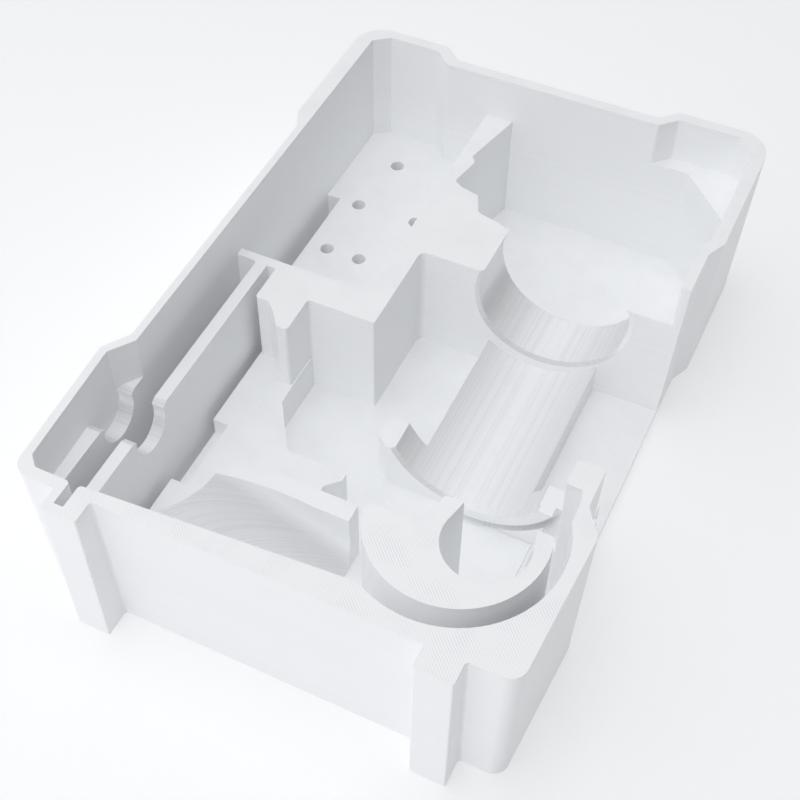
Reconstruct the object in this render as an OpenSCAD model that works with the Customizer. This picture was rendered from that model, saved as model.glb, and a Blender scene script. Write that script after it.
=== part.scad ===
// One-piece tray insert for a tool case.
// X runs across the tray, Y from its front legs to its back wall, Z up from its base.
// The origin is the middle of the footprint, on the base.

/* [Tray] */
// Overall length, from the front of the legs to the back wall
tray_l = 380; // [374:1:392]
// Height of the rim above the base
tray_h = 99; // [94:1:108]
// Width across the back corners
back_w = 247.4; // [245:0.2:251]
// Width across the waist, where the case's latches pass
waist_w = 237; // [235:0.5:240]
// Width across the front shoulders
front_w = 255.6; // [253:0.2:259]
// Width across the front end of the flanks
nose_w = 248.6; // [245:0.2:251]
// Radius of the two back corners
corner_r = 17.5; // [10:0.5:20]
// Radius of the two front corners
nose_r = 8; // [4:0.5:10]
// Length of the wide stretch at the back
back_l = 90; // [84:1:96]
// Length of the wide stretch at the front
front_l = 80; // [76:1:84]
// Run of the slope between waist and back
back_run = 11; // [8:0.5:14]
// Run of the slope between waist and front
front_run = 14; // [10:0.5:16]
// Depth of the recess in the back wall
recess_d = 9.1; // [7:0.1:10]
// Length of the recess in the back wall
recess_l = 121.6; // [110:0.2:130]
// Run of each slope at the ends of the recess
recess_run = 10; // [6:0.5:12]
// How far the front wall is drawn in at the base
front_draft = 3; // [1:0.1:3.4]
// How far the other walls are drawn in at the base
side_draft = 2.4; // [1:0.1:2.6]

/* [Legs] */
// How far the legs stand out of the front wall
leg_out = 11.9; // [10:0.1:14]
// Width of each leg
leg_w = 18.7; // [17:0.1:20]
// Distance between the middles of the legs
leg_span = 182; // [180:0.5:183]
// Fillet between leg and front wall
leg_fillet = 2.4; // [1:0.1:3]
// Width of the slot in the left leg
leg_slot_w = 5; // [4:0.1:6]
// Wall in front of the slot in the left leg
leg_slot_wall = 4.6; // [3:0.1:6]

/* [Walls] */
// Thickness of the floor
floor_t = 3.5; // [2.5:0.1:4.5]
// Thickness of the left wall at the waist
left_wall = 4.2; // [3.8:0.1:5]
// Thickness of the right wall at the waist
right_wall = 5.5; // [4.8:0.1:6.5]
// Thickness of the back wall
back_wall = 6.4; // [5:0.1:7]
// Thickness of the right wall along the back stretch
back_side_wall = 6.8; // [6:0.1:8]
// Thickness of the front wall at its left end
front_wall = 5.8; // [5:0.1:7]
// Thickness of the front wall where it meets the round well
front_wall_right = 14.8; // [12:0.1:17]
// Height of the dividers and ledges
mid_h = 72; // [66:0.5:78]
// Radius of the corners between walls
inner_r = 2; // [1:0.1:3]

/* [Screw pocket] */
// Inner width of the screw pocket
pocket_w = 76.2; // [72:0.2:80]
// Inner length of the screw pocket
pocket_l = 160.4; // [156:0.2:164]
// Height of the plate with the screw holes
plate_h = 28.5; // [24:0.5:32]
// Width of the trench beside the plate
trench_w = 8.4; // [6:0.1:10]
// Length of the trench beside the plate
trench_l = 100.2; // [90:0.2:110]
// Bore of the screw holes
hole_d = 8; // [6:0.1:9]
// Depth of the screw holes
hole_deep = 22; // [18:0.5:23]
// Distance of the first hole from the cross divider
hole_row = 58.6; // [54:0.1:62]
// Distance from one row of holes to the next
hole_pitch = 41.5; // [38:0.1:45]
// Distance of the first hole from the left wall
hole_in = 20.5; // [19:0.1:24]

/* [Dividers] */
// Thickness of the cross divider
cross_t = 5; // [4:0.1:7]
// Width of the channel along the left wall
channel_w = 11.9; // [10:0.1:13]
// Thickness of the long thin wall
thin_t = 6.7; // [5:0.1:8]
// Width of the slot beside the thin wall
slot_w = 5.5; // [4:0.1:7]
// Distance from the stepped divider's left face to the web's left end
step_reach = 49.15; // [47:0.1:51]
// Width of the stepped divider at the back wall
step_root = 16.3; // [14:0.1:18]

/* [Round rest] */
// Radius of the round rest in the left ledge and the thin wall
rest_r = 13; // [11:0.1:14]
// Height of its axis
rest_z = 65.7; // [64:0.1:68]
// Distance of its axis from the front wall
rest_from_front = 66.7; // [62:0.1:70]

/* [Large saddle] */
// Radius of the large saddle
saddle_r = 41.4; // [39:0.1:42]
// Height of its axis
saddle_z = 58; // [56:0.5:62]
// Thickness of the web along its right end
web_t = 32; // [28:0.5:36]
// Chamfer around its edges
saddle_edge = 2; // [1:0.1:3]
// Width of the shoulder on its right
shoulder_w = 24.15; // [22:0.05:26]

/* [Cradle] */
// Radius of the cradle
cradle_r = 44.7; // [43:0.1:46]
// Height of the cradle's axis
cradle_z = 54; // [53:0.5:57]
// Distance of the cradle's left edge from its axis
cradle_left = 29.7; // [28:0.1:32]
// Distance of the cradle's right edge from its axis
cradle_right = 32; // [30:0.1:34]
// Distance of the cradle's axis left of the large saddle's axis
cradle_shift = 3; // [1:0.1:5]
// Height of the small saddle at the front of the cradle
horn_h = 34.3; // [30:0.1:40]
// Thickness of the small saddle
horn_t = 19.3; // [16:0.1:22]
// How much thinner its right end is
horn_step = 5.8; // [4:0.1:8]
// How far the lip on its right half stands forward
lip_t = 3.8; // [3:0.1:5]
// Outer radius of the lip
lip_r = 51; // [49:0.1:53]
// Radius of the hollow between the lip and the right wall
flank_r = 55; // [53:0.1:57]
// Height of that hollow's outer edge
flank_h = 44; // [40:0.5:50]
// Length of that hollow, from the lip to the post by the open side
flank_l = 25; // [21:0.1:29]

/* [Inclined trough] */
// Height of the stepped platform
platform_h = 27; // [24:0.5:30]
// Height of the step along the platform's left edge
step_h = 16.3; // [12:0.1:20]
// Height of the ridge behind the trough
ridge_h = 45; // [42:0.5:48]
// Thickness of the ridge at its top
ridge_t = 9.9; // [8:0.1:12]
// Radius of the trough
trough_r = 34.5; // [33:0.05:36]
// Fall of the trough to the right, in degrees
trough_fall = 25.7; // [22:0.1:28]
// Height of the trough's axis at its right end
trough_z = 27.4; // [26:0.1:29]
// How far forward the slanted left end of the trough reaches the platform's edge
trough_skew = 35.5; // [32:0.5:38]

/* [Round well] */
// Radius of the round well
well_r = 51; // [49:0.1:52]
// Width of the ring gap around the island
ring_gap = 8.7; // [7:0.1:10]
// Bore of the hole through the island
island_bore = 41; // [38:0.1:43]
// Distance of the well's axis from the front wall
well_from_front = 59; // [58:0.1:61]
// Height of the pad under the island
pad_h = 5; // [4.6:0.1:6]

/* [Hidden] */
$fn = 96;
over = 1;
far = 40;
round_steps = 5;

leg_y = -tray_l / 2;
back_y = tray_l / 2;
wall_y = leg_y + leg_out;
back_in = back_y - recess_d - back_wall;
corner_in = back_y - back_wall;
left_x = left_wall - waist_w / 2;
right_x = waist_w / 2 - right_wall;
back_right_x = back_w / 2 - back_side_wall;
ledge_x = left_wall + 0.2 - front_w / 2;

divider_x = left_x + pocket_w;
cross_y = back_in - pocket_l;
thin_x = left_x + channel_w;
block_x = thin_x + thin_t + slot_w;
notch_x = divider_x + 12.7;
web_x = divider_x + step_reach;

saddle_half = sqrt(saddle_r * saddle_r - (mid_h - saddle_z) * (mid_h - saddle_z));
saddle_x = web_x + saddle_half;
web_y = cross_y + 39.6;
web_skew = 6;
web_back_y = web_y + web_skew + web_t;
shoulder_x = saddle_x + saddle_half;
open_back_y = web_y + web_skew + 0.8;

well_y = wall_y + well_from_front;
post_back_y = well_y + 57.1;
post_y = post_back_y - 15;

cradle_x = saddle_x - cradle_shift;
lip_x = cradle_x - 5;
lip_y = post_y + flank_l;
horn_y = lip_y + lip_t;
horn_back_y = horn_y + horn_t;
flank_x = saddle_x + 42;

platform_x = block_x - 0.4;
step_x = platform_x + 9;
end_x = divider_x + 47.4;
ridge_back_y = wall_y + 83.9;
ridge_y = ridge_back_y - ridge_t;
trough_y = ridge_y - 34.2;
skew_x = divider_x - 26;
skew_y = ridge_y - 3.9;

well_x = saddle_x + 19.6;
island_x = well_x + 0.8;
island_cy = well_y + 0.7;
island_r = well_r - ring_gap;
island_y = well_y + 13.3;
island_waist_y = well_y - 4.6;
hole_x = well_x + 15.8;
hole_y = well_y - 2.5;
post_x = right_x - 8.1;
rest_y = wall_y + rest_from_front;

// Rounding of an outline whose points are [x, y, radius]
function unit(v) = v / norm(v);
function flat(p) = [p[0], p[1]];
function sweep(a) = a > 180 ? a - 360 : (a < -180 ? a + 360 : a);
function corner(a, b, c) =
    let (
        u = flat(a) - flat(b),
        v = flat(c) - flat(b),
        half = acos(max(-1, min(1, unit(u) * unit(v)))) / 2,
        reach = min(b[2] / tan(half), 0.48 * min(norm(u), norm(v))),
        r = reach * tan(half),
        centre = flat(b) + unit(unit(u) + unit(v)) * r / sin(half),
        start = flat(b) + unit(u) * reach - centre,
        stop = flat(b) + unit(v) * reach - centre,
        from = atan2(start[1], start[0]),
        turn = sweep(atan2(stop[1], stop[0]) - from),
        steps = b[2] > 5 ? 2 * round_steps : round_steps
    )
    [for (k = [0:steps]) centre + r * [cos(from + turn * k / steps), sin(from + turn * k / steps)]];
function rounded(p) =
    let (n = len(p))
    [for (i = [0:n - 1]) each (p[i][2] > 0 ? corner(p[(i + n - 1) % n], p[i], p[(i + 1) % n]) : [flat(p[i])])];

module slab(points, z0, z1) {
    translate([0, 0, z0])
        linear_extrude(z1 - z0)
            polygon(rounded(points));
}

// Half of the outline without legs and recess: side is -1 for the left flank and 1 for the right one,
// inward and forward are how far its walls are drawn in
function flank(side, inward, forward) = [
    [side * (back_w / 2 - inward), back_y - inward, corner_r],
    [side * (back_w / 2 - inward), back_y - back_l, inner_r],
    [side * (waist_w / 2 - inward), back_y - back_l - back_run, inner_r],
    [side * (waist_w / 2 - inward), wall_y + front_l + front_run, inner_r],
    [side * (front_w / 2 - inward), wall_y + front_l, inner_r],
    [side * (nose_w / 2 - inward), wall_y + forward, nose_r]
];
function reversed(p) = [for (i = [len(p) - 1:-1:0]) p[i]];
function ring(inward, forward) = rounded(concat(reversed(flank(-1, inward, forward)), flank(1, inward, forward)));
function raised(p, z) = [for (q = p) [q[0], q[1], z]];

// Outline of one leg, with the fillets where it meets the front wall
function leg_ring(middle, forward) = rounded([
    [middle - leg_w / 2, leg_y, inner_r / 2],
    [middle - leg_w / 2, wall_y + forward, leg_fillet],
    [middle - leg_w / 2 - 3 * leg_fillet, wall_y + forward + over, 0],
    [middle + leg_w / 2 + 3 * leg_fillet, wall_y + forward + over, 0],
    [middle + leg_w / 2, wall_y + forward, leg_fillet],
    [middle + leg_w / 2, leg_y, inner_r / 2]
]);

// Joins an outline at the rim to one at the base: each is the same on its left and right,
// starts at its front left and only goes back until its middle
module lofted(rim, foot) {
    n = len(rim);
    sides = [for (i = [0:n - 1]) let (j = (i + 1) % n) each [[j, i, n + i], [j, n + i, n + j]]];
    top = [for (i = [0:n / 2 - 2]) [i, i + 1, n - 2 - i, n - 1 - i]];
    base = [for (f = top) [n + f[3], n + f[2], n + f[1], n + f[0]]];
    polyhedron(concat(raised(rim, tray_h), raised(foot, 0)), concat(top, base, sides));
}

module outer_body() {
    difference() {
        lofted(ring(0, 0), ring(side_draft, front_draft));
        slab([
            [-recess_l / 2 - recess_run - far, back_y + far, 0],
            [recess_l / 2 + recess_run + far, back_y + far, 0],
            [recess_l / 2 + recess_run, back_y, 0],
            [recess_l / 2, back_y - recess_d, inner_r],
            [-recess_l / 2, back_y - recess_d, inner_r],
            [-recess_l / 2 - recess_run, back_y, 0]
        ], -over, tray_h + over);
    }
    for (middle = [-leg_span / 2, leg_span / 2])
        lofted(leg_ring(middle, 0), leg_ring(middle, front_draft));
}

// Left end of the opening at the front wall, with the slot that runs into the left leg
function front_edge() =
    let (slot_x = -leg_span / 2 - leg_slot_w)
    [
        [cradle_x - 4, wall_y + front_wall_right, inner_r],
        [slot_x + leg_slot_w, wall_y + front_wall, inner_r],
        [slot_x + leg_slot_w, leg_y + leg_slot_wall, 0.5],
        [slot_x, leg_y + leg_slot_wall, 0.5],
        [slot_x, wall_y + front_wall, inner_r]
    ];

// Right side of the opening, from the web down to the round well
function right_edge() = [
    [right_x, open_back_y, inner_r],
    [front_w / 2 + far, open_back_y, 0],
    [front_w / 2 + far, post_back_y, 0],
    [post_x, post_back_y, inner_r],
    [post_x, post_y, inner_r / 2],
    [right_x, post_y, inner_r / 2],
    [right_x + 1.4, post_y - 7, 0],
    [right_x + 1.6, well_y + sqrt(well_r * well_r - (right_x + 1.6 - well_x) * (right_x + 1.6 - well_x)), 0],
    [cradle_x, wall_y + front_wall_right - 1, 0]
];

function back_left_edge() = [
    [left_x, corner_in - 7, inner_r],
    [left_x + 9.3, corner_in, inner_r],
    [-recess_l / 2 - recess_run - 3.3, corner_in, inner_r],
    [-recess_l / 2 - 4, back_in, inner_r]
];

module rim_opening() {
    slab(concat(
        back_left_edge(),
        [
            [recess_l / 2 + 2.2, back_in, inner_r],
            [recess_l / 2 + recess_run + 1.2, corner_in, inner_r],
            [back_right_x - 9.8, corner_in, inner_r],
            [back_right_x, corner_in - 9.8, inner_r],
            [back_right_x, back_y - back_l - 1, inner_r],
            [right_x, back_y - back_l - back_run + 2.6, inner_r]
        ],
        right_edge(),
        front_edge(),
        [
            [ledge_x + 8.4, wall_y + front_wall, inner_r],
            [ledge_x + 3.1, wall_y + front_wall + 5.4, inner_r],
            [ledge_x, wall_y + front_l - 1.2, inner_r],
            [left_x, wall_y + front_l + front_run - 2.8, inner_r]
        ]), mid_h, tray_h + over);
}

module lower_opening() {
    slab(concat(
        back_left_edge(),
        [
            [right_x - 28.1, back_in, inner_r],
            [right_x, back_in - 28.1, inner_r]
        ],
        right_edge(),
        front_edge(),
        [[left_x, wall_y + front_wall, inner_r]]), floor_t, mid_h + over);
}

module round_well() {
    translate([well_x, well_y, floor_t])
        cylinder(r = well_r, h = tray_h);
}

// Cross divider, stepped divider, corner block and thin wall, all in one outline
module dividers() {
    front_y = wall_y - over;
    slab([
        [left_x - far, cross_y, 0],
        [divider_x, cross_y, inner_r],
        [divider_x, back_y, 0],
        [divider_x + step_root, back_y, 0],
        [divider_x + step_root, back_in, 0],
        [divider_x + 7.1, back_in - 37.9, 0],
        [divider_x + 10.3, back_in - 42.1, inner_r],
        [divider_x + 6.5, back_in - 61, inner_r],
        [divider_x + 12, back_in - 64.5, inner_r],
        [divider_x + 23, back_in - 67, inner_r],
        [divider_x + 28.4, back_in - 79.5, inner_r],
        [divider_x + 43.6, web_back_y - 0.2, inner_r],
        [web_x, web_back_y - 4.2, inner_r],
        [web_x, web_y, 0],
        [notch_x, web_y, 2 * inner_r],
        [notch_x, cross_y - 18.6, inner_r / 2],
        [divider_x - 26, cross_y - 18.6, inner_r],
        [divider_x - 26, cross_y - 42.2, inner_r],
        [divider_x - 32.2, cross_y - 42.2, inner_r],
        [divider_x - 39.3, cross_y - 33, inner_r],
        [divider_x - 44.3, cross_y - 28.6, inner_r],
        [block_x, cross_y - 28.6, inner_r],
        [block_x, cross_y - 5.7, inner_r / 2],
        [thin_x + thin_t, cross_y - 5.7, inner_r / 2],
        [thin_x + thin_t, front_y, 0],
        [thin_x, front_y, 0],
        [thin_x, cross_y - cross_t, inner_r],
        [left_x - far, cross_y - cross_t, 0]
    ], 0, mid_h);
}

module screw_plate() {
    difference() {
        translate([left_x - far, cross_y - over, 0])
            cube([pocket_w + far + over, back_y - cross_y, plate_h]);
        translate([left_x - far, cross_y, floor_t])
            cube([far + trench_w, trench_l, plate_h]);
    }
}

module screw_holes() {
    spots = [[0, 0], [20.6, 0.2], [0.3, hole_pitch], [37.4, hole_pitch + 0.8], [6.4, 2 * hole_pitch]];
    for (s = spots)
        translate([left_x + hole_in + s[0], cross_y + hole_row + s[1], plate_h - hole_deep])
            cylinder(d = hole_d, h = hole_deep + over);
}

// Web with the large saddle, and the shoulder on its right
module web() {
    slab([
        [web_x - 2 * over, web_y, 0],
        [web_x, web_y, 0],
        [shoulder_x, web_y + web_skew, inner_r / 2],
        [shoulder_x + shoulder_w + far, web_y + web_skew, 0],
        [shoulder_x + shoulder_w + far, web_back_y, 0],
        [web_x - 2 * over, web_back_y, 0]
    ], 0, mid_h);
}

module large_saddle() {
    translate([saddle_x, web_back_y + over, saddle_z])
        rotate([90, 0, 0])
            cylinder(r = saddle_r, h = web_t + 4 * web_skew);
    translate([saddle_x, web_back_y - saddle_edge, saddle_z])
        rotate([-90, 0, 0])
            cylinder(r1 = saddle_r, r2 = saddle_r + 2 * saddle_edge, h = 2 * saddle_edge);
    translate([saddle_x, web_y + web_skew / 2, saddle_z])
        rotate([90, 0, atan(web_skew / (2 * saddle_half))])
            translate([0, 0, -2 * saddle_edge])
                cylinder(r1 = saddle_r - saddle_edge, r2 = saddle_r + 2 * saddle_edge, h = 3 * saddle_edge);
}

// Lip in front of the small saddle's right half
module lip() {
    difference() {
        translate([lip_x, lip_y, 0])
            cube([right_x + over - lip_x, horn_y + over - lip_y, horn_h]);
        translate([saddle_x, horn_y + 2 * saddle_edge, saddle_z])
            rotate([90, 0, 0])
                cylinder(r = cradle_r, h = 4 * saddle_edge);
    }
}

// Ring cut below the lip
module undercut() {
    intersection() {
        translate([saddle_x, horn_y + saddle_edge, saddle_z])
            rotate([90, 0, 0])
                difference() {
                    cylinder(r = flank_r, h = 4 * saddle_edge);
                    translate([0, 0, -over])
                        cylinder(r = lip_r, h = 4 * saddle_edge + 2 * over);
                }
        translate([lip_x, lip_y - far, floor_t])
            cube([right_x - lip_x, 2 * far, horn_h]);
    }
}

// Cradle block with the small saddle at its front
module cradle() {
    difference() {
        union() {
            translate([cradle_x - cradle_left, horn_back_y - horn_step - over, 0])
                cube([cradle_left + cradle_right, web_y + web_skew + 2 * over + horn_step - horn_back_y, platform_h]);
            slab([
                [cradle_x - 51.1, horn_back_y, inner_r],
                [cradle_x, horn_back_y, 0],
                [cradle_x, horn_back_y - horn_step, 0],
                [right_x + over, horn_back_y - horn_step, 0],
                [right_x + over, horn_y, 0],
                [cradle_x - 45.2, horn_y, inner_r],
                [cradle_x - 51.6, horn_y + 5.6, inner_r]
            ], 0, horn_h);
        }
        translate([cradle_x, web_back_y, cradle_z])
            rotate([90, 0, 0])
                cylinder(r = cradle_r, h = web_back_y - horn_y + over);
        intersection() {
            translate([cradle_x, horn_y + saddle_edge, cradle_z])
                rotate([90, 0, 0])
                    cylinder(r1 = cradle_r, r2 = cradle_r + 2 * saddle_edge, h = 2 * saddle_edge);
            translate([lip_x - 2 * far, horn_y - far, 0])
                cube([2 * far, 2 * far, tray_h]);
        }
    }
    lip();
}

// Hollow flank that rises from the lip to the post at the right wall
module flank_floor() {
    difference() {
        translate([flank_x, post_y, 0])
            cube([far, lip_y + over - post_y, flank_h]);
        translate([saddle_x, lip_y, saddle_z])
            rotate([90, 0, 0])
                cylinder(r = flank_r, h = lip_y - post_y + over);
    }
}

// Space of the inclined trough, open at the top
module trough() {
    translate([end_x, trough_y, trough_z])
        rotate([0, trough_fall, 0])
            translate([-3 * far, 0, 0]) {
                rotate([0, 90, 0])
                    cylinder(r = trough_r, h = 4 * far);
                translate([0, -trough_r, 0])
                    cube([4 * far, 2 * trough_r - 0.8, 2 * far]);
            }
}

// Stepped platform, and the block that the inclined trough runs through, with its ridge at the back
module trough_bed() {
    difference() {
        slab([
            [platform_x, cross_y, 0],
            [divider_x - 25.2, cross_y, 0],
            [divider_x - 25.2, cross_y - 54.1, inner_r / 2],
            [divider_x - 7.1, ridge_back_y + 26.7, inner_r / 2],
            [divider_x + 27.5, ridge_back_y + 26.7, inner_r / 2],
            [divider_x + 27.5, ridge_back_y + 21.5, inner_r / 2],
            [divider_x + 20.3, ridge_back_y + 14.4, inner_r / 2],
            [divider_x + 20.3, ridge_y, 0],
            [skew_x + 2 * over, ridge_y, 0],
            [skew_x + 2 * over, skew_y, 0],
            [platform_x, skew_y - trough_skew - over, 0]
        ], 0, platform_h);
        translate([platform_x - over, ridge_back_y - 15.4, step_h])
            cube([step_x - platform_x + over, 43.1, far]);
    }
    difference() {
        slab([
            [end_x, ridge_back_y, 0],
            [divider_x - 11.4, ridge_back_y, 2 * inner_r],
            [divider_x - 22, ridge_y + 2.8, inner_r],
            [skew_x, skew_y, inner_r / 2],
            [platform_x, skew_y - trough_skew, 0],
            [platform_x, wall_y - over, 0],
            [end_x, wall_y - over, 0]
        ], 0, ridge_h);
        trough();
    }
}

// Round island in the well, open at the back, on its low pad
module island() {
    difference() {
        intersection() {
            translate([island_x, island_cy, 0])
                cylinder(r = island_r, h = tray_h);
            slab([
                [island_x - island_r + 1.2, leg_y, 0],
                [island_x - island_r + 1.2, island_waist_y, 2 * inner_r],
                [island_x - 11.9, island_waist_y, 2.5 * inner_r],
                [island_x - 11.9, island_y, inner_r],
                [island_x + island_r + over, island_y, 0],
                [island_x + island_r + over, leg_y, 0]
            ], 0, tray_h);
        }
        translate([hole_x, hole_y, pad_h])
            cylinder(d = island_bore, h = tray_h);
        slab([
            [hole_x - island_bore / 2 + 0.4, hole_y + 3.6, 0],
            [hole_x - 17, island_y + over, 0],
            [hole_x + 17, island_y + over, 0],
            [hole_x + island_bore / 2 - 0.4, hole_y + 3.6, 0]
        ], pad_h, tray_h + over);
    }
    slab([
        [end_x - 0.7, lip_y - 3.9, 0],
        [flank_x - 5, lip_y - 1.3, 0],
        [flank_x - 5, island_waist_y - 20, 0],
        [island_x - island_r + 6, island_waist_y - 20, 0],
        [island_x - island_r + 4, island_waist_y + 20, 0]
    ], 0, pad_h);
}

// Cut through the left ledge and the thin wall, widened at its mouth
module round_rest() {
    mouth = sqrt(rest_r * rest_r - 18.5);
    translate([ledge_x, rest_y, rest_z])
        rotate([90, 0, 90])
            cylinder(r = rest_r, h = thin_x + thin_t + over - ledge_x);
    translate([ledge_x, rest_y, mid_h])
        rotate([90, 0, 90])
            linear_extrude(thin_x + thin_t + over - ledge_x)
                polygon([[-mouth, -2], [mouth, -2], [mouth + 3.2, 0], [mouth + 3.2, 1], [-mouth - 3.2, 1], [-mouth - 3.2, 0]]);
}

// Everything that stands inside the opening
module inner_bodies() {
    screw_plate();
    difference() {
        union() {
            dividers();
            web();
        }
        large_saddle();
    }
    cradle();
    flank_floor();
    trough_bed();
    island();
}

module opening() {
    rim_opening();
    lower_opening();
    round_well();
}

module case_insert() {
    color("whitesmoke")
        difference() {
            outer_body();
            difference() {
                opening();
                inner_bodies();
            }
            intersection() {
                round_rest();
                rim_cut();
            }
            undercut();
            screw_holes();
        }
}

// Space inside the rim, carried down to the round rest
module rim_cut() {
    translate([0, 0, rest_z - rest_r - mid_h - over])
        rim_opening();
    rim_opening();
}

case_insert();
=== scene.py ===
import math

import bpy
from mathutils import Matrix, Vector


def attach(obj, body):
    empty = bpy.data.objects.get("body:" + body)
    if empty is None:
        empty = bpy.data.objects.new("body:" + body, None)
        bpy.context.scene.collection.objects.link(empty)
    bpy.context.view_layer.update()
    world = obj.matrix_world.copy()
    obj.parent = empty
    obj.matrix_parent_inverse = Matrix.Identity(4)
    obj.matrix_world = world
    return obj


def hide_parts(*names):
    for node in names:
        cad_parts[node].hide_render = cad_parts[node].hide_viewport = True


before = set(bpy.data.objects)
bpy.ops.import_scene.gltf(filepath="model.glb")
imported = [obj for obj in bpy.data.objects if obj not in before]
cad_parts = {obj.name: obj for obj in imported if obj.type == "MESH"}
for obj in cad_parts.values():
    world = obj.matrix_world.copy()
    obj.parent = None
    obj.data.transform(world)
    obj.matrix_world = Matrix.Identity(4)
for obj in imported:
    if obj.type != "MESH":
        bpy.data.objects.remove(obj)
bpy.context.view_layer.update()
print("frame loaded")

# Sizes are in millimetres where a name ends in Mm, and in metres elsewhere; angles are in degrees
insert = {
    "name": "printedInsert",
    "edgeRound": 0.00045,
    "edgeSteps": 2,
    "edgeAngle": 31,
    "smoothAngle": 31,
    "mergeWithin": 0.000004,
    "flatWithin": 0.4,
}

# Thin plate of the CAD solid above the lip, which the real tray doesn't have
strayPlate = {
    "low": (0.0905, -0.0521, 0.0342),
    "high": (0.1045, -0.0499, 0.0450),
    "hollowAxis": (0.050011, -0.051, 0.058),
    "hollowRadius": 0.05495,
    "hollowDepth": 0.02,
    "hollowSides": 192,
}

# A Tilt is a range of how far a face is level: 0 is a wall, 1 a floor
plastic = {
    "name": "whitePrintedPlastic",
    "slot": "white_plastic",
    "base": (0.93, 0.937, 0.948),
    "warm": (0.935, 0.942, 0.952),
    "groove": (0.845, 0.86, 0.88),
    "roughness": 0.42,
    "grainRoughness": 0.18,
    "lineRoughness": 0.12,
    "refraction": 1.46,
    "specular": 0.45,
    "wallTilt": (0.15, 0.5),
    "levelTilt": (0.9985, 0.9998),
    "layerMm": 0.3,
    "unevenStairs": 0.6,
    "linesPerMetre": 1500,
    "bandsPerMetre": 130,
    "bandRange": (0.45, 0.75),
    "leastBand": 0.35,
    "rasterMm": 1.25,
    "rasterShares": (0.85, 0.15),
    "patchScale": 60.0,
    "patchRange": (0.3, 0.75),
    "driftScale": 9.0,
    "driftRange": (0.3, 0.7),
    "grainScale": 1800.0,
    "reliefHeights": {"walls": 0.00011, "raster": 0.00005, "grain": 0.00003},
    "reliefStrength": 1.0,
    "toneShares": {"walls": 2.2, "stairs": 0.8, "steps": 0.5, "raster": 0.7},
    "toneRange": (0.0, 0.8),
}

photoView = {
    "place": (0.187523, -0.437870, 0.598422),
    "right": (0.894726, 0.446216, -0.018877),
    "up": (-0.340983, 0.709796, 0.616377),
    "focalPx": 1377.155,
    "centrePx": (349.375, 430.999),
    "framePx": 800,
    "sensorMm": 36,
    "farthest": 30,
}

studio = {
    "floorSize": 9.0,
    "floorColour": (0.9, 0.905, 0.91),
    "floorRoughness": 0.9,
    "floorGlow": 0.12,
    "worldColour": (0.965, 0.98, 1.0),
    "worldStrength": 0.47,
    "worldLean": (-0.6, 0.1, 0.5),
    "aim": (0, 0, 0.05),
    "lamps": [
        {"name": "frontFill", "place": (-0.75, -1.45, 1.35), "size": 1.4, "watts": 12, "shadow": False},
        {"name": "highPanel", "place": (0.1, 0.0, 2.3), "size": 1.4, "watts": 6, "shadow": True},
    ],
}


def deselectAll():
    if bpy.context.mode != "OBJECT":
        bpy.ops.object.mode_set(mode="OBJECT")
    bpy.ops.object.select_all(action="DESELECT")


def pick(piece):
    deselectAll()
    piece.select_set(True)
    bpy.context.view_layer.objects.active = piece


# One socket of a node, which Python's own signs join into Math nodes
class Wire:
    def __init__(self, recipe, socket):
        self.recipe = recipe
        self.socket = socket

    def math(self, operation, *others):
        values = {0: self}
        values.update({i + 1: other for i, other in enumerate(others)})
        return self.recipe.add("ShaderNodeMath", {"operation": operation}, values)

    def __add__(self, other):
        return self.math("ADD", other)

    def __sub__(self, other):
        return self.math("SUBTRACT", other)

    def __rsub__(self, other):
        return (self * -1).math("ADD", other)

    def __mul__(self, other):
        return self.math("MULTIPLY", other)

    def __truediv__(self, other):
        return self.math("DIVIDE", other)

    __radd__ = __add__

    def between(self, low, high):
        return self.recipe.add("ShaderNodeMapRange", {"interpolation_type": "SMOOTHSTEP"},
                               {"Value": self, "From Min": low, "From Max": high})


# A material or world and the one method that adds nodes to it
class Recipe:
    def __init__(self, owner):
        self.owner = owner
        owner.use_nodes = True
        self.tree = owner.node_tree
        self.tree.nodes.clear()

    def add(self, kind, settings=None, values=None, output=0):
        node = self.tree.nodes.new(kind)
        for key, value in (settings or {}).items():
            setattr(node, key, value)
        for key, value in (values or {}).items():
            if isinstance(value, Wire):
                self.tree.links.new(value.socket, node.inputs[key])
            else:
                node.inputs[key].default_value = value
        return Wire(self, node.outputs[output]) if len(node.outputs) else node

    def axes(self, vector):
        split = self.add("ShaderNodeSeparateXYZ", values={0: vector})
        return [Wire(self, split.socket.node.outputs[name]) for name in "XYZ"]

    def noise(self, vector, scale, detail):
        values = {"Vector": vector, "Scale": scale, "Detail": detail}
        return self.add("ShaderNodeTexNoise", values=values, output="Fac")

    def lineNoise(self, along, detail, roughness):
        values = {"W": along, "Scale": 1.0, "Detail": detail, "Roughness": roughness}
        return self.add("ShaderNodeTexNoise", {"noise_dimensions": "1D"}, values, "Fac")

    # The sockets of a Mix node for colours are only told apart by their numbers
    def mix(self, amount, first, second):
        sides = {6: first, 7: second}
        values = {i: side if isinstance(side, Wire) else (*side, 1) for i, side in sides.items()}
        return self.add("ShaderNodeMix", {"data_type": "RGBA"}, {0: amount, **values}, 2)


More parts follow.
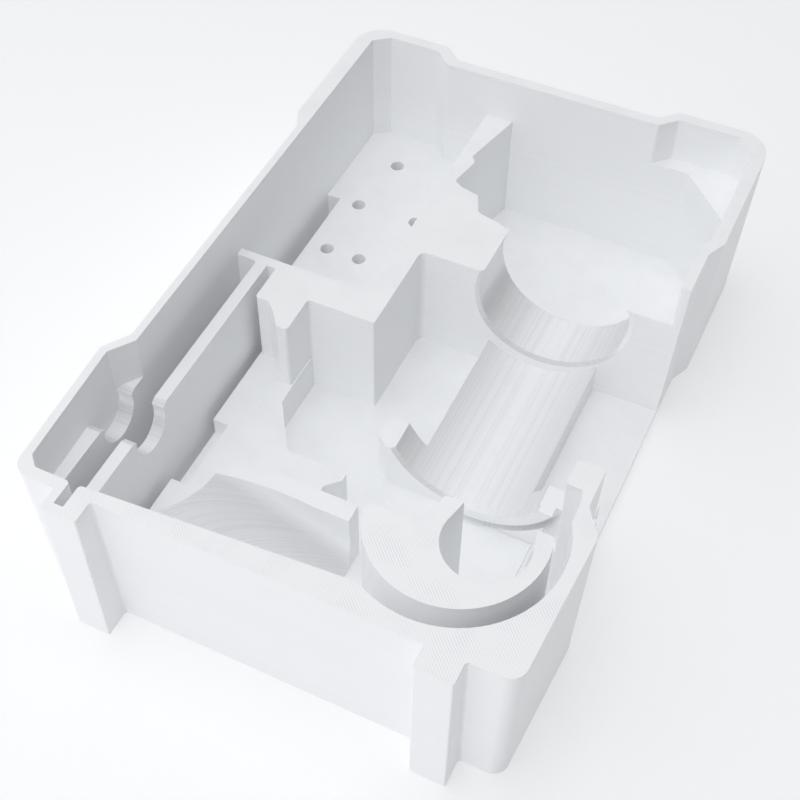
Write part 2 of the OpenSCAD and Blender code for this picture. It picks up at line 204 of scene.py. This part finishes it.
def makePlastic(look):
    r = Recipe(bpy.data.materials.new(look["name"]))
    place = r.add("ShaderNodeTexCoord", output="Object")
    x, y, z = r.axes(place)
    facing = r.add("ShaderNodeNewGeometry", output="Normal")
    flatness = r.axes(facing)[2].math("ABSOLUTE")
    wall = 1 - flatness.between(*look["wallTilt"])
    level = flatness.between(*look["levelTilt"])
    curved = (1 - wall) * (1 - level)

    # Stair steps where a printed layer ends on a curve or slope, each of its own height
    layer = look["layerMm"] / 1000
    count = z / layer
    step = count.math("FRACT")
    uneven = r.add("ShaderNodeTexWhiteNoise", {"noise_dimensions": "1D"}, {"W": count.math("FLOOR")}) - 0.5
    stairs = (uneven * look["unevenStairs"] - step) * curved * layer

    # Layers on the walls: fine lines of uneven strength
    fine = (r.lineNoise(z * look["linesPerMetre"], 2.0, 0.7) - 0.5) * wall
    bands = r.lineNoise(z * look["bandsPerMetre"], 1.0, 0.5).between(*look["bandRange"])
    wallLines = fine * (bands + look["leastBand"])

    # Raster of the level faces, mostly along one diagonal and stronger in patches
    pitch = 2 * math.pi / (look["rasterMm"] / 1000) * math.sqrt(0.5)
    diagonal = ((x + y) * pitch).math("SINE")
    across = ((x - y) * pitch).math("SINE")
    rows = diagonal * look["rasterShares"][0] + across * look["rasterShares"][1]
    patch = r.noise(place, look["patchScale"], 3.0).between(*look["patchRange"])
    raster = rows * patch * level

    grain = r.noise(place, look["grainScale"], 2.0) - 0.5
    heights = look["reliefHeights"]
    relief = stairs + wallLines * heights["walls"] + raster * heights["raster"] + grain * heights["grain"]
    bump = r.add("ShaderNodeBump", values={
        "Strength": look["reliefStrength"], "Distance": 1.0, "Height": relief,
    })

    drift = r.noise(place, look["driftScale"], 2.0).between(*look["driftRange"])
    shares = look["toneShares"]
    steps = (uneven + step * shares["steps"]) * curved
    lines = fine * shares["walls"] + steps * shares["stairs"] + raster * shares["raster"]
    tone = r.mix(drift, look["base"], look["warm"])
    tone = r.mix(lines.between(*look["toneRange"]), tone, look["groove"])
    rough = grain * look["grainRoughness"] + fine * look["lineRoughness"] + look["roughness"]

    shader = r.add("ShaderNodeBsdfPrincipled", values={
        "Base Color": tone, "Roughness": rough, "Normal": bump,
        "IOR": look["refraction"], "Specular IOR Level": look["specular"],
    })
    r.add("ShaderNodeOutputMaterial", values={"Surface": shader})
    return r.owner


def makeFloorPaint():
    r = Recipe(bpy.data.materials.new("paleFloor"))
    shader = r.add("ShaderNodeBsdfPrincipled", values={
        "Base Color": (*studio["floorColour"], 1), "Roughness": studio["floorRoughness"],
        "Emission Color": (1, 1, 1, 1), "Emission Strength": studio["floorGlow"],
    })
    r.add("ShaderNodeOutputMaterial", values={"Surface": shader})
    return r.owner


def cut(piece, tool, operation):
    step = piece.modifiers.new("cut", "BOOLEAN")
    step.operation = operation
    step.object = tool
    pick(piece)
    bpy.ops.object.modifier_apply(modifier=step.name)
    bpy.data.objects.remove(tool)


# Takes the stray plate away, up to the hollow that it stands in
def trimPlate(piece):
    low, high = strayPlate["low"], strayPlate["high"]
    deselectAll()
    bpy.ops.mesh.primitive_cube_add(size=1, location=[(a + b) / 2 for a, b in zip(low, high)])
    block = bpy.context.object
    block.dimensions = [b - a for a, b in zip(low, high)]
    deselectAll()
    bpy.ops.mesh.primitive_cylinder_add(
        vertices=strayPlate["hollowSides"], radius=strayPlate["hollowRadius"],
        depth=strayPlate["hollowDepth"], location=strayPlate["hollowAxis"],
        rotation=(math.pi / 2, 0, 0))
    cut(block, bpy.context.object, "INTERSECT")
    cut(piece, block, "DIFFERENCE")


# The CAD insert as one merged mesh with the small edge rounding of a print
def makeInsert():
    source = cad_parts["case_insert"]
    piece = bpy.data.objects.new(insert["name"], source.data.copy())
    bpy.context.scene.collection.objects.link(piece)
    pick(piece)
    bpy.ops.object.mode_set(mode="EDIT")
    bpy.ops.mesh.select_all(action="SELECT")
    bpy.ops.mesh.remove_doubles(threshold=insert["mergeWithin"])
    bpy.ops.mesh.customdata_custom_splitnormals_clear()
    bpy.ops.mesh.dissolve_limited(angle_limit=math.radians(insert["flatWithin"]))
    bpy.ops.object.mode_set(mode="OBJECT")
    trimPlate(piece)
    rounding = piece.modifiers.new("edgeRounding", "BEVEL")
    rounding.width = insert["edgeRound"]
    rounding.segments = insert["edgeSteps"]
    rounding.limit_method = "ANGLE"
    rounding.angle_limit = math.radians(insert["edgeAngle"])
    rounding.miter_outer = "MITER_ARC"
    bpy.ops.object.modifier_apply(modifier=rounding.name)
    bpy.ops.object.shade_smooth_by_angle(angle=math.radians(insert["smoothAngle"]))
    flats = piece.modifiers.new("flatFaces", "WEIGHTED_NORMAL")
    flats.mode = "FACE_AREA"
    flats.keep_sharp = True
    bpy.ops.object.modifier_apply(modifier=flats.name)
    return piece


def makeCamera():
    view = photoView
    right = Vector(view["right"]).normalized()
    up = Vector(view["up"]).normalized()
    back = right.cross(up)
    turn = Matrix((right, up, back)).transposed().to_4x4()
    deselectAll()
    bpy.ops.object.camera_add()
    camera = bpy.context.object
    camera.name = "photoCamera"
    camera.matrix_world = Matrix.Translation(view["place"]) @ turn
    size = view["framePx"]
    camera.data.sensor_width = view["sensorMm"]
    camera.data.lens = view["focalPx"] * view["sensorMm"] / size
    camera.data.shift_x = (size / 2 - view["centrePx"][0]) / size
    camera.data.shift_y = (view["centrePx"][1] - size / 2) / size
    camera.data.clip_end = view["farthest"]
    bpy.context.scene.camera = camera


# Soft light from all round, stronger from some sides than from others
def makeWorld():
    r = Recipe(bpy.data.worlds.new("studioWorld"))
    x, y, z = r.axes(r.add("ShaderNodeTexCoord", output="Generated"))
    lean = studio["worldLean"]
    amount = (x * lean[0] + y * lean[1] + z * lean[2] + 1) * studio["worldStrength"]
    glow = r.add("ShaderNodeBackground", values={"Color": (*studio["worldColour"], 1), "Strength": amount})
    r.add("ShaderNodeOutputWorld", values={"Surface": glow})
    return r.owner


def makeStudio():
    deselectAll()
    bpy.ops.mesh.primitive_plane_add(size=studio["floorSize"], location=(0, 0, 0))
    ground = bpy.context.object
    ground.name = "studioFloor"
    ground.data.materials.append(makeFloorPaint())
    for lamp in studio["lamps"]:
        deselectAll()
        bpy.ops.object.light_add(type="AREA", location=lamp["place"])
        light = bpy.context.object
        light.name = lamp["name"]
        light.data.size = lamp["size"]
        light.data.energy = lamp["watts"]
        light.data.use_shadow = lamp["shadow"]
        aim = Vector(studio["aim"]) - Vector(lamp["place"])
        light.rotation_euler = aim.to_track_quat("-Z", "Y").to_euler()
    bpy.context.scene.world = makeWorld()
    bpy.context.scene.view_settings.view_transform = "Standard"
    bpy.context.scene.view_settings.look = "None"


makeCamera()
makeStudio()
print("camera and studio ready")

whitePlastic = makePlastic(plastic)
printedInsert = makeInsert()
printedInsert.data.materials.clear()
printedInsert.data.materials.append(whitePlastic)
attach(printedInsert, "root")
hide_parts("case_insert")
print("insert ready,", len(printedInsert.data.polygons), "faces")
